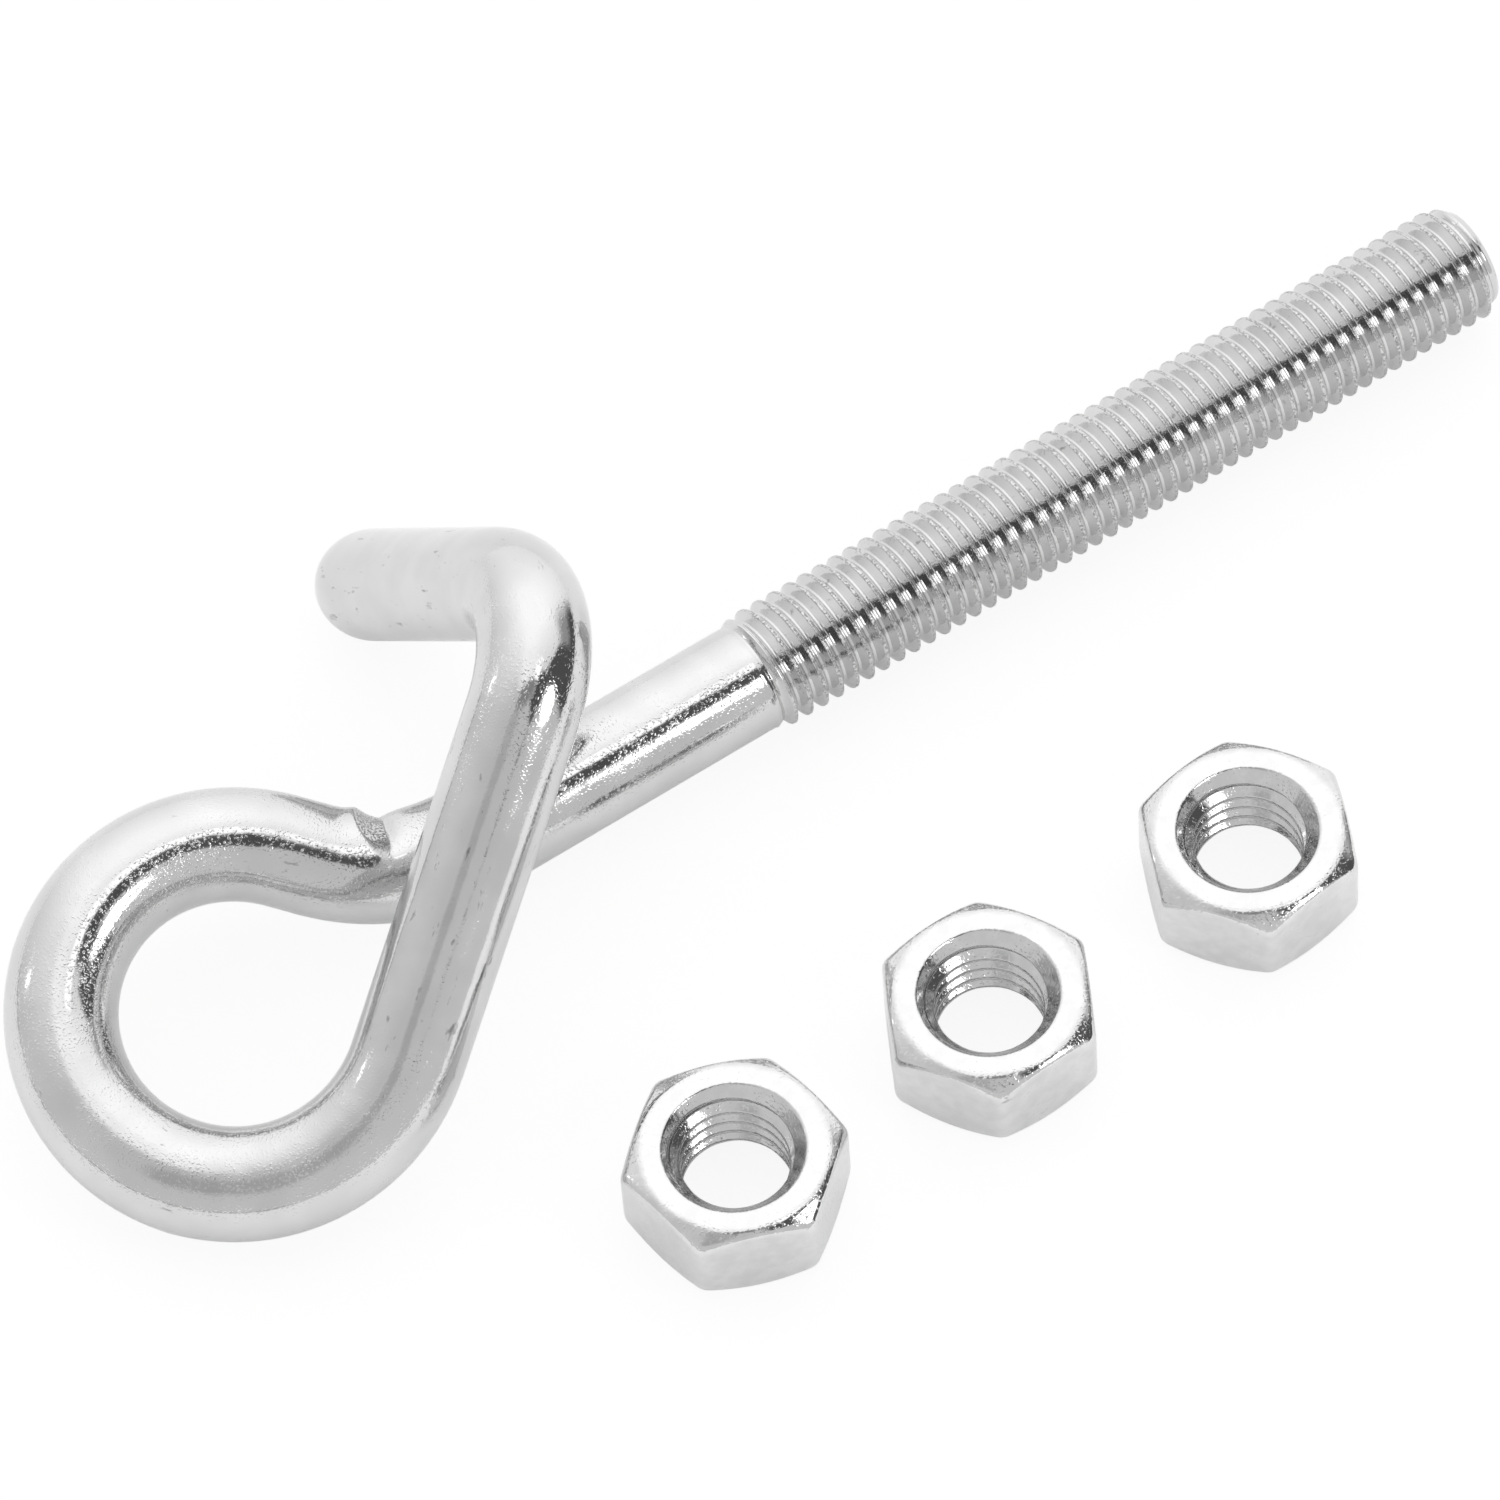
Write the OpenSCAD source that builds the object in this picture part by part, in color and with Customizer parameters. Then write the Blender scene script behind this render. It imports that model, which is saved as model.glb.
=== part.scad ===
// Swing hook: one rod with a threaded end, bent into a coiled loop whose tail
// crosses over the shank and turns back past it, and the three hex nuts that
// clamp it through a beam. The hook lies on the ground on its thread, its loop
// and the tip of its leg, and the nuts lie flat in a row beside it.
// Millimetres, +Z up, +X along the shank towards the free end of the thread.
// The origin is on the ground, in the middle of the whole.

/* [Rod] */
// diameter of the plain rod
rod_d = 10.8; // [10.4:0.1:11]
// length of the plain shank between the thread and the neck
shank_len = 31; // [26:0.2:40]

/* [Thread] */
// outside diameter of the thread
thread_d = 12; // [11.8:0.1:12]
// length of the thread
thread_len = 84.4; // [60:0.2:110]
// distance from one turn of the thread to the next
thread_pitch = 1.75; // [1.25:0.05:2]
// chamfer at the free end of the thread, along the rod
end_chamfer = 1.6; // [0.8:0.1:2]

/* [Loop] */
// angle of the neck, out of the line of the shank
neck_angle = 45.6; // [43:0.2:48]
// radius of the neck's centre line
neck_r = 19.2; // [17:0.2:22]
// straight run between the neck and the loop
neck_run = 3.3; // [2:0.1:5]
// radius of the loop's centre line
loop_r = 16.9; // [16:0.1:19]
// how far round the loop goes
loop_turn = 263.3; // [258:0.1:267]
// tilt of the loop against the neck
loop_tilt = 3.2; // [2:0.1:6]
// twist between the thirds of the loop, which makes it rise
loop_twist = 14.3; // [13:0.1:18]

/* [Arm and leg] */
// straight arm that crosses over the shank
arm_len = 33.5; // [31:0.1:38]
// turn of the last bend about the arm
arm_twist = 54; // [48:0.5:62]
// angle of the last bend
leg_angle = 97.3; // [90:0.1:104]
// radius of the last bend's centre line
leg_r = 11.4; // [10:0.1:14]
// straight length of the leg
leg_len = 24.2; // [20:0.2:30]
// length of the leg's rounded tip
tip_len = 7.3; // [5.5:0.1:8]

/* [Nuts] */
// width across the flats
nut_w = 19; // [18:0.1:19]
// height
nut_h = 10; // [9:0.1:10.8]
// diameter of the flat ring on each face
nut_face_d = 17.5; // [16.6:0.1:18]
// diameter of the hole between the threads' crests
nut_bore_d = 10.2; // [10.1:0.1:10.4]
// diameter of the countersink's mouth
nut_sink_d = 13.6; // [12.2:0.1:14]
// depth of the countersink, down to the hole
nut_sink_deep = 2.2; // [1.2:0.1:2.6]
// place of the nut beside the loop, back from the free end of the thread
nut_1_at = 114.3; // [112:0.1:125]
// its distance from the line of the shank
nut_1_out = 43.8; // [43:0.1:60]
// its turn
nut_1_turn = -20.6; // [-30:0.1:30]
// place of the middle nut, back from the free end of the thread
nut_2_at = 85.8; // [82:0.1:88]
// its distance from the line of the shank
nut_2_out = 43.6; // [35:0.1:60]
// its turn
nut_2_turn = 2.2; // [-30:0.1:30]
// place of the last nut, back from the free end of the thread
nut_3_at = 56; // [40:0.1:58]
// its distance from the line of the shank
nut_3_out = 42.9; // [30:0.1:60]
// its turn
nut_3_turn = 6.9; // [-30:0.1:30]

/* [Hidden] */
$fn = 72;

// Bends are drawn a hair slimmer than straight runs, and each run laps a little
// way into the bends beside it.
seam = 0.02;
lap = 0.3;
bent_r = (rod_d - seam) / 2;

// A place on the rod is a point, the way onward and the side that it bends to.
function go(f, s) = [f[0] + s * f[1], f[1], f[2]];
function spin(f, a) = [f[0], f[1], cos(a) * f[2] + sin(a) * cross(f[1], f[2])];
function curve(f, a, r) = [
    f[0] + r * sin(a) * f[1] + r * (1 - cos(a)) * f[2],
    cos(a) * f[1] + sin(a) * f[2],
    cos(a) * f[2] - sin(a) * f[1]];

third = loop_turn / 3;
thread_end = [[0, 0, 0], [-1, 0, 0], [0, 1, 0]];
shank_start = go(thread_end, thread_len);
neck_start = go(shank_start, shank_len);
neck_end = curve(neck_start, neck_angle, neck_r);
loop_1 = spin(go(neck_end, neck_run), 180 + loop_tilt);
loop_2 = spin(curve(loop_1, third, loop_r), loop_twist);
loop_3 = spin(curve(loop_2, third, loop_r), loop_twist);
arm_start = curve(loop_3, third, loop_r);
bend_start = spin(go(arm_start, arm_len), -arm_twist);
leg_start = curve(bend_start, leg_angle, leg_r);
tip = go(leg_start, leg_len);

// How the hook lies: the ground touches the thread, the lowest of the loop or
// of the thread's inner end, and the tip. Each ball is a centre and a radius.
step = 3;
loop_balls = [for (f = [loop_1, loop_2, loop_3], a = [0 : step : third])
    [curve(f, a, loop_r)[0], bent_r]];
end_ball = [go(thread_end, end_chamfer)[0], thread_d / 2];
inner_ball = [go(thread_end, thread_len - end_chamfer)[0], thread_d / 2];
side_balls = concat([inner_ball], loop_balls);

function tip_ball(n) = let (c = n * tip[1])
    [tip[0], sqrt(pow(tip_len * c, 2) + pow(rod_d / 2, 2) * (1 - c * c))];
function lowest(balls, n) = let (h = [for (b = balls) b[0] * n - b[1]])
    balls[search(min(h), h)[0]];
function ground(a, b, c) = let (
    e = b[0] - a[0],
    g = c[0] - a[0],
    p = b[1] - a[1],
    q = c[1] - a[1],
    d = (e * e) * (g * g) - pow(e * g, 2),
    flat = ((p * (g * g) - q * (e * g)) * e + (q * (e * e) - p * (e * g)) * g) / d,
    k = cross(e, g) / norm(cross(e, g)))
    flat + (k[2] < 0 ? -1 : 1) * sqrt(max(0, 1 - flat * flat)) * k;
function settle(n, times) = times == 0 ? n
    : settle(ground(end_ball, lowest(side_balls, n), tip_ball(n)), times - 1);

up = settle(ground(end_ball, inner_ball, tip_ball([0, 0, 1])), 6);
ahead = ([1, 0, 0] - up[0] * up) / norm([1, 0, 0] - up[0] * up);
aside = cross(up, ahead);
lift = end_ball[1] - end_ball[0] * up;
function lie(p) = [p * ahead, p * aside, p * up + lift];

// The middle of everything that lies on the ground.
bend_balls = [for (a = [0 : step : leg_angle]) [curve(bend_start, a, leg_r)[0], bent_r]];
reach = [for (b = concat(loop_balls, bend_balls)) [lie(b[0]), b[1]]];
corner_d = nut_w / cos(30);
nut_at = [nut_1_at, nut_2_at, nut_3_at];
nut_out = [nut_1_out, nut_2_out, nut_3_out];
nut_turn = [nut_1_turn, nut_2_turn, nut_3_turn];
nut_xy = [for (i = [0 : 2]) [lie([0, 0, 0])[0] - nut_at[i], lie([0, 0, 0])[1] - nut_out[i]]];
nut_low = min([for (i = [0 : 2], k = [0 : 5]) nut_xy[i][1] + corner_d / 2 * sin(nut_turn[i] + 60 * k)]);
mid = [
    (min([for (b = reach) b[0][0] - b[1]]) + lie([0, 0, 0])[0]) / 2,
    (max([for (b = concat(reach, [[lie(tip[0]), tip_ball(aside)[1]]])) b[0][1] + b[1]]) + nut_low) / 2];

plating = [0.80, 0.80, 0.80];

module lay() {
    multmatrix([
        [ahead[0], ahead[1], ahead[2], -mid[0]],
        [aside[0], aside[1], aside[2], -mid[1]],
        [up[0], up[1], up[2], lift],
        [0, 0, 0, 1]])
        children();
}

// Local axes of a place on the rod: z onward, x to the side that it bends to.
module along(f) {
    b = cross(f[1], f[2]);
    multmatrix([
        [f[2][0], b[0], f[1][0], f[0][0]],
        [f[2][1], b[1], f[1][1], f[0][1]],
        [f[2][2], b[2], f[1][2], f[0][2]],
        [0, 0, 0, 1]])
        children();
}

module straight(f, s) {
    along(f) translate([0, 0, -lap]) cylinder(d = rod_d, h = s + 2 * lap);
}

module bent(f, a, r) {
    along(f) translate([r, 0, 0]) rotate([90, 0, 180])
        rotate_extrude(angle = a) translate([r, 0]) circle(r = bent_r);
}

// The thread is drawn as rings, one to each turn of a metric thread: flanks 60 degrees
// apart, a narrow crest, and a cone that cuts the rings at each end.
end_slope = 0.75;
thread_r = thread_d / 2;
root_r = thread_r - 0.613 * thread_pitch;
crest_half = thread_pitch / 16;
ring_half = crest_half + (thread_r - root_r) * tan(30);
ring = [[root_r, -ring_half], [thread_r, -crest_half], [thread_r, crest_half], [root_r, ring_half]];
turns = floor(thread_len / thread_pitch);

function cut(r, s) = min(r, thread_r - end_slope * max(end_chamfer - s, s + end_chamfer - thread_len));

module thread() {
    along(thread_end) rotate_extrude()
        polygon(concat(
            [[0, 0], [cut(root_r, 0), 0]],
            [for (k = [0 : turns - 1], p = ring) let (s = (k + 0.5) * thread_pitch + p[1]) [cut(p[0], s), s]],
            [[cut(root_r, thread_len), thread_len], [0, thread_len]]));
}

// The tip is half an egg.
module rounded_tip() {
    along(tip) rotate_extrude()
        polygon(concat([[0, -lap], [bent_r, -lap]],
            [for (a = [0 : 7.5 : 90]) [bent_r * cos(a), tip_len * sin(a)]]));
}

module hook() {
    color(plating) lay() union() {
        thread();
        straight(shank_start, shank_len);
        bent(neck_start, neck_angle, neck_r);
        straight(neck_end, neck_run);
        for (f = [loop_1, loop_2, loop_3])
            bent(f, third, loop_r);
        for (f = [loop_2, loop_3])
            straight(f, 0);
        straight(arm_start, arm_len);
        bent(bend_start, leg_angle, leg_r);
        straight(leg_start, leg_len);
        rounded_tip();
    }
}

module hex_nut(i) {
    face_r = nut_face_d / 2;
    far = corner_d / 2 + 0.2;
    rise = (far - face_r) * tan(30);
    over = 0.5;
    sink_slope = (nut_sink_d - nut_bore_d) / nut_sink_deep;
    color(plating)
        translate([nut_xy[i][0] - mid[0], nut_xy[i][1] - mid[1], 0]) rotate(nut_turn[i])
        difference() {
            intersection() {
                linear_extrude(nut_h)
                    polygon([for (k = [0 : 5]) corner_d / 2 * [cos(60 * k), sin(60 * k)]]);
                rotate_extrude()
                    polygon([
                        [0, 0], [face_r, 0], [far, rise],
                        [far, nut_h - rise], [face_r, nut_h], [0, nut_h]]);
            }
            translate([0, 0, -1]) cylinder(d = nut_bore_d, h = nut_h + 2);
            for (z = [0, 1])
                translate([0, 0, z * nut_h]) mirror([0, 0, z]) translate([0, 0, -over])
                    cylinder(d1 = nut_sink_d + over * sink_slope, d2 = nut_bore_d, h = nut_sink_deep + over);
        }
}

module nut_1() {
    hex_nut(0);
}

module nut_2() {
    hex_nut(1);
}

module nut_3() {
    hex_nut(2);
}

hook();
nut_1();
nut_2();
nut_3();
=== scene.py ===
# %% [markdown]
# # A swing hook and its three nuts
# The object is a hook for hanging a swing from a beam. One steel rod is threaded at one
# end and bent into an open loop at the other, and three hexagon nuts clamp it.
# Everything is plated with bright zinc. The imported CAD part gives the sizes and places,
# and this script draws each piece again with the detail that the CAD solids leave out:
# the rolled thread, the crease in the neck, the rounded edges of the nuts and the plating.

import bpy
import numpy as np
from mathutils import Matrix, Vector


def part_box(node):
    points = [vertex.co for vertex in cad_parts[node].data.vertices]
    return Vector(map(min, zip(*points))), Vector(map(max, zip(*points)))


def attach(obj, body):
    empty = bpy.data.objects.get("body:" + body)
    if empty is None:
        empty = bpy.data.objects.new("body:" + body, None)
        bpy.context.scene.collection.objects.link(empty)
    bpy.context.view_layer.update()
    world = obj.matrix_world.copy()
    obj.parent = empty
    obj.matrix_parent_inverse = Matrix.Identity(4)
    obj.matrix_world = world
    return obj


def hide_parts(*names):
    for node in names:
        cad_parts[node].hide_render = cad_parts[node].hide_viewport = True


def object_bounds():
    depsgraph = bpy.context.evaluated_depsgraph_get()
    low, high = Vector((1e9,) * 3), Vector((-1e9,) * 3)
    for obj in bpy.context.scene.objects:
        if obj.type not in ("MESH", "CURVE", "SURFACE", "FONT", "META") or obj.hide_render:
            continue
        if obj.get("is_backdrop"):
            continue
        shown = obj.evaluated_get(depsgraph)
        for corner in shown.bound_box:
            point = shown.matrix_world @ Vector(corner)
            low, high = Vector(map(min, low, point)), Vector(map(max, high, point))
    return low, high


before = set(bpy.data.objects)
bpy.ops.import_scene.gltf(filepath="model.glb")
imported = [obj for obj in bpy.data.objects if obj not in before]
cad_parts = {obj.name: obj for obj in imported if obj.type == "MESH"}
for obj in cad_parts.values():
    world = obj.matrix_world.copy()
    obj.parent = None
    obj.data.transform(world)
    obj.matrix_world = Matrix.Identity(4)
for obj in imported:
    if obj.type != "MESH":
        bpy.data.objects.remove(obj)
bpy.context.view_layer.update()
MM = 0.001

# %% [markdown]
# ## The camera
# A catalogue picture like this one is taken from far away with a long lens, so parallel
# edges stay nearly parallel. The heading is measured from the +Y axis, the pitch is how
# far the camera looks down, and the roll turns the picture about the line of sight. The
# three directions that come out of those angles are used again for the light, because a
# photographer also places lamps relative to the camera.

# %% Stand the camera up
HEADING, PITCH, ROLL = np.radians([29.361, 58.66, 4.78])
FOCAL_PIXELS, PICTURE_PIXELS, SENSOR_MM = 10950, 1500, 36.0
CAMERA_AT_MM = (-269.53, -466.74, 890.86)

level_right = np.array([np.cos(HEADING), -np.sin(HEADING), 0.0])
level_ahead = np.array([np.sin(HEADING), np.cos(HEADING), 0.0])
sight = np.cos(PITCH) * level_ahead - np.sin(PITCH) * np.array([0.0, 0.0, 1.0])
picture_up = np.sin(PITCH) * level_ahead + np.cos(PITCH) * np.array([0.0, 0.0, 1.0])
camera_x = np.cos(ROLL) * level_right - np.sin(ROLL) * picture_up
camera_y = np.sin(ROLL) * level_right + np.cos(ROLL) * picture_up

camera_data = bpy.data.cameras.new("catalogue_camera")
camera_data.sensor_width = SENSOR_MM
camera_data.lens = FOCAL_PIXELS / PICTURE_PIXELS * SENSOR_MM
camera_data.clip_start, camera_data.clip_end = 0.05, 20.0
camera = bpy.data.objects.new("catalogue_camera", camera_data)
bpy.context.scene.collection.objects.link(camera)
stand = np.eye(4)
stand[:3, :3] = np.column_stack([camera_x, camera_y, -sight])
stand[:3, 3] = np.array(CAMERA_AT_MM) * MM
camera.matrix_world = Matrix(stand.tolist())
bpy.context.scene.camera = camera
bpy.context.scene.view_settings.view_transform = "Standard"
print("lens in mm:", round(camera_data.lens, 1))

# %% [markdown]
# ## Grids, welding and meshes
# Every piece below is a grid of points worked out by a formula. A grid of point numbers
# turns into triangles, points that land on the same place are welded into one, and the
# arrays go into the mesh in one call each. Welding is what closes a tube's seam, and what
# turns a ring that has shrunk to nothing into a single pole.

# %% Helpers for every surface
def grid_faces(ids):
    """Each cell of a grid of point numbers gives two triangles, cut along its diagonal:
    its corner, the next column, the next row; so columns turn towards rows face outwards."""
    a, b, c, d = ids[:-1, :-1], ids[:-1, 1:], ids[1:, 1:], ids[1:, :-1]
    halves = [np.stack([a, b, c], -1), np.stack([a, c, d], -1)]
    return np.concatenate([half.reshape(-1, 3) for half in halves])


def weld(points, faces):
    """Points within a ten-thousandth of a millimetre become one, and a triangle that has
    lost a corner is dropped. Returns the numbers of the points kept, and the faces."""
    places = np.round(points, 4) + 0.0
    _, kept, number = np.unique(places, axis=0, return_index=True, return_inverse=True)
    faces = number.reshape(-1)[faces]
    whole = (faces != np.roll(faces, 1, axis=1)).all(axis=1)
    return kept, faces[whole]


def make_piece(name, points, faces, **marks):
    """A mesh object in metres from points in millimetres. Each of the marks is kept on the
    mesh as an attribute for the finish: a vector or a number for every point."""
    kept, faces = weld(points, faces)
    mesh = bpy.data.meshes.new(name)
    mesh.vertices.add(len(kept))
    mesh.vertices.foreach_set("co", (points[kept] * MM).astype(np.float32).ravel())
    mesh.loops.add(faces.size)
    mesh.loops.foreach_set("vertex_index", faces.astype(np.int32).ravel())
    mesh.polygons.add(len(faces))
    mesh.polygons.foreach_set("loop_start", np.arange(0, faces.size, 3, dtype=np.int32))
    mesh.update(calc_edges=True)
    mesh.shade_smooth()
    for title, values in marks.items():
        kind, slot = ("FLOAT_VECTOR", "vector") if values.ndim == 2 else ("FLOAT", "value")
        layer = mesh.attributes.new(title, kind, "POINT")
        layer.data.foreach_set(slot, values[kept].astype(np.float32).ravel())
    piece = bpy.data.objects.new(name, mesh)
    bpy.context.scene.collection.objects.link(piece)
    print(name, "has", len(kept), "points and", len(faces), "triangles")
    return piece

# %% [markdown]
# ## The bent rod's centre line
# A bender makes a hook like this from three moves: push the rod on, turn it about its own
# axis, and bend it. The same three moves walk the centre line here. A place on the rod is
# a point, the way onward and the side that the next bend goes to. A bend carries its own
# frame round without twisting it, so subtracting all the turns made so far gives rings
# that line up from end to end, with no twist in the mesh.

# %% The three moves of the bender
def push(place, length):
    """Onward in a straight line: the point moves by length times the way onward."""
    point, onward, side = place
    return point + length * onward, onward, side


def turn(place, angle):
    """About the rod's own axis: side becomes cos(angle) side + sin(angle) (onward x side)."""
    point, onward, side = place
    return point, onward, np.cos(angle) * side + np.sin(angle) * np.cross(onward, side)


def bend(place, angle, radius):
    """Round an arc: forward by radius sin(angle), sideways by radius (1 - cos(angle)), and
    both directions turned by the angle. angle may be a column of many angles."""
    point, onward, side = place
    c, s = np.cos(angle), np.sin(angle)
    return point + radius * (s * onward + (1 - c) * side), c * onward + s * side, c * side - s * onward

# %% [markdown]
# ## The sizes of the hook
# These are the sizes of the CAD part. The rod is 10.8 mm thick, which is also the middle
# of the thread's flanks: that is the mark of a thread that was rolled and not cut, because
# rolling pushes the metal out of the grooves and up into the crests.

# %% Sizes in millimetres and degrees
ROD_R = 5.4
THREAD_LEN, SHANK_LEN = 84.4, 31.0
NECK_ANGLE, NECK_R, NECK_RUN = np.radians(45.6), 19.2, 3.3
LOOP_R, LOOP_THIRD = 16.9, np.radians(263.3 / 3)
LOOP_TILT, LOOP_TWIST = np.radians(180 + 3.2), np.radians(14.3)
ARM_LEN, ARM_TWIST = 33.5, np.radians(-54.0)
LEG_ANGLE, LEG_R, LEG_LEN, TIP_LEN = np.radians(97.3), 11.4, 24.2, 7.3

end_onward = np.array([-1.0, 0.0, 0.00014])
end_side = np.array([0.0, np.cos(np.radians(24.785)), np.sin(np.radians(24.785))])
end_side -= end_side @ end_onward * end_onward
thread_end = (np.array([82.910, 9.672, 6.000]), end_onward, end_side)
shank_start = push(thread_end, THREAD_LEN)

# %% Walk the rod from the shank to the start of the tip
AROUND = 72
bender_moves = [
    ("push", SHANK_LEN, 0, 30), ("bend", NECK_ANGLE, NECK_R, 64), ("push", NECK_RUN, 0, 6),
    ("turn", LOOP_TILT, 0, 0), ("bend", LOOP_THIRD, LOOP_R, 36),
    ("turn", LOOP_TWIST, 0, 0), ("bend", LOOP_THIRD, LOOP_R, 36),
    ("turn", LOOP_TWIST, 0, 0), ("bend", LOOP_THIRD, LOOP_R, 36),
    ("push", ARM_LEN, 0, 34), ("turn", ARM_TWIST, 0, 0),
    ("bend", LEG_ANGLE, LEG_R, 40), ("push", LEG_LEN, 0, 24)]

place, turned, travelled = shank_start, 0.0, 0.0
centres, onwards, sides, turns, lengths, bentness = [], [], [], [], [], []
for move, amount, radius, steps in bender_moves:
    if move == "turn":
        place, turned = turn(place, amount), turned + amount
        continue
    share = np.arange(steps)[:, None] / steps
    partway = amount * share
    point, onward, side = push(place, partway) if move == "push" else bend(place, partway, radius)
    length = amount * (radius if move == "bend" else 1)
    centres.append(np.broadcast_to(point, (steps, 3)))
    onwards.append(np.broadcast_to(onward, (steps, 3)))
    sides.append(np.broadcast_to(side, (steps, 3)))
    turns.append(np.full(steps, turned))
    lengths.append(travelled + length * share[:, 0])
    bentness.append(np.sin(np.pi * share[:, 0]) ** 0.5 if move == "bend" else np.zeros(steps))
    travelled += length
    place = push(place, amount) if move == "push" else bend(place, amount, radius)
tip_start, tip_turn = place, turned
print("rod from shank to tip:", round(travelled, 2), "mm")

# %% [markdown]
# ## The rounded tip
# The leg ends in a rounded nose, so that nothing catches on it. It is half an egg: rings
# that shrink as the cosine of an angle while they move on as its sine. The last ring has
# no size at all, and welding makes it the pole.

# %% Rings of the tip
TIP_RINGS = 22
nose = np.linspace(0, np.pi / 2, TIP_RINGS)
tip_point, tip_onward, tip_side = tip_start
centres.append(tip_point + TIP_LEN * np.sin(nose)[:, None] * tip_onward)
onwards.append(np.broadcast_to(tip_onward, (TIP_RINGS, 3)))
sides.append(np.broadcast_to(tip_side, (TIP_RINGS, 3)))
turns.append(np.full(TIP_RINGS, tip_turn))
lengths.append(travelled + TIP_LEN * np.sin(nose))
bentness.append(np.zeros(TIP_RINGS))

centres, onwards, sides = (np.concatenate(part) for part in (centres, onwards, sides))
turns, lengths, bentness = (np.concatenate(part)[:, None] for part in (turns, lengths, bentness))
shrink = np.ones(len(centres))
shrink[-TIP_RINGS:] = np.where(np.arange(TIP_RINGS) == TIP_RINGS - 1, 0.0, np.cos(nose))
print("rings on the rod:", len(centres))

# %% [markdown]
# ## The crease in the neck
# Where the shank turns into the loop, the rod was bent over the edge of a tool. The edge
# left a sharp crease on the inner side: a slope of three or four millimetres that goes down
# from the loop, ends in a line across the rod, and rises again along the shank. It is real
# shape, and shows in the outline, so it is made in the mesh: a depth that depends on how
# far along the rod a point is, times how nearly it faces the tool. The slope itself is
# bruised. The arm and the leg were rubbed smooth in the bender, all but the last bend. Both
# are kept as marks on the mesh, from nought to one, for the finish to read.

# %% Radius at each point of the rod
CREASE_AT, CREASE_DEPTH = 39.7, 1.3
CREASE_SLOPE, CREASE_WIDEN, CREASE_FADE = 0.6, 3.3, 1.3
CREASE_FACING, CREASE_INNER, CREASE_OUTER = np.radians([-42.0, 90.0, 54.0])
LIP_HEIGHT, LIP_WIDTH = 0.30, 1.2
FLATTENING = 0.07
BRUISE_EDGE, BRUISE_SPREAD = 0.35, 4.0
RUBBED_FROM, RUBBED_OVER = 118.0, 14.0
LAST_BEND_AT, LAST_BEND_SPREAD, LAST_BEND_ROUGH = 165.0, 9.0, 0.9

ring_angle = 2 * np.pi * np.arange(AROUND) / AROUND
bend_angle = ring_angle[None, :] - turns


def facing(angle, towards, before, after):
    """One where the angle looks towards the tool, and a squared cosine down to nought at the
    spread before it and the spread after it."""
    off = (angle - towards + np.pi) % (2 * np.pi) - np.pi
    spread = np.where(off > 0, after, before)
    return np.cos(np.clip(np.abs(off) / spread, 0, 1) * np.pi / 2) ** 2


def smooth(x):
    """Nought to one with a soft start and a soft end: 3 x squared minus 2 x cubed."""
    x = np.clip(x, 0, 1)
    return x * x * (3 - 2 * x)


past = lengths - CREASE_AT
struck = facing(bend_angle, CREASE_FACING, CREASE_OUTER, CREASE_INNER) * (turns == 0)
slope_len = CREASE_SLOPE + CREASE_WIDEN * np.sqrt(struck)
slope = np.clip(1 - past / slope_len, 0, 1)
crease = np.where(past > 0, slope, np.exp(np.minimum(past, 0) / CREASE_FADE))
lip = np.exp(-((past - slope_len) / LIP_WIDTH) ** 2)
outer = np.clip(-np.cos(bend_angle), 0, 1) ** 2
rod_radius = (ROD_R - FLATTENING * bentness * outer) * shrink[:, None]
rod_radius = rod_radius - struck * (CREASE_DEPTH * crease - LIP_HEIGHT * lip)
rod_bruise = smooth(past / BRUISE_EDGE) * smooth((slope_len - past) / BRUISE_EDGE)
rod_bruise = rod_bruise * smooth(BRUISE_SPREAD * struck)
rubbed_along = smooth((lengths - RUBBED_FROM) / RUBBED_OVER)
last_bend = np.exp(-((lengths - LAST_BEND_AT) / LAST_BEND_SPREAD) ** 2)
rubbed_along = rubbed_along * (1 - LAST_BEND_ROUGH * last_bend)
rod_rubbed = np.broadcast_to(rubbed_along, rod_radius.shape)
print("deepest point of the crease:", round(float((ROD_R - rod_radius[:100]).max()), 2), "mm")

# %% Points of the rod
across = np.cross(onwards, sides)
spoke = np.cos(bend_angle)[..., None] * sides[:, None] + np.sin(bend_angle)[..., None] * across[:, None]
rod_points = centres[:, None] + rod_radius[..., None] * spoke
rod_straight = np.stack(np.broadcast_arrays(
    THREAD_LEN + lengths, ROD_R * np.cos(ring_angle)[None], ROD_R * np.sin(ring_angle)[None]), -1)
rod_ids = np.arange(rod_points[..., 0].size).reshape(rod_points.shape[:2])
rod_ids = np.concatenate([rod_ids, rod_ids[:, :1]], axis=1)
rod_faces = grid_faces(rod_ids)
print("lowest point of the rod:", round(float(rod_points[..., 2].min()), 3), "mm")

# %% [markdown]
# ## The rolled thread
# The thread is a metric M12 with a pitch of 1.75 mm and flanks at 60 degrees. A thread
# could be made by screwing a profile round with a modifier, but its two ends would then
# stay open. Here it is one strip that winds round the axis: one parameter goes round the
# helix, and the other goes across one pitch of the profile. The next turn's first edge is
# this turn's last, so the strip closes onto itself. At the free end it is cut by a cone,
# at the inner end it fades into the plain rod, and the crest has the fine seam that
# rolling leaves where the metal from both flanks meets. The dies leave the flanks smooth,
# and the crests get nicked later, so both are marked for the finish.

# %% The thread's profile
PITCH_MM = 1.75
profile_at = np.array([0, .075, .105, .14, .385, .415, .44, .47, .5, .53, .56, .585, .615, .86, .895, .925])
profile_r = np.array([4.93, 4.945, 4.98, 5.07, 5.85, 5.935, 5.965, 5.95, 5.92, 5.95, 5.965, 5.935, 5.85,
                      5.07, 4.98, 4.945])
END_FROM, END_CONE_R, END_CONE_RISE = 0.12, 4.8, 0.75
FADE_TURNS = 1.3
CREST_FROM, CREST_OVER, CREST_BRUISE = 5.88, 0.06, 0.8
ROLLED_SMOOTH = 0.75

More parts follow.
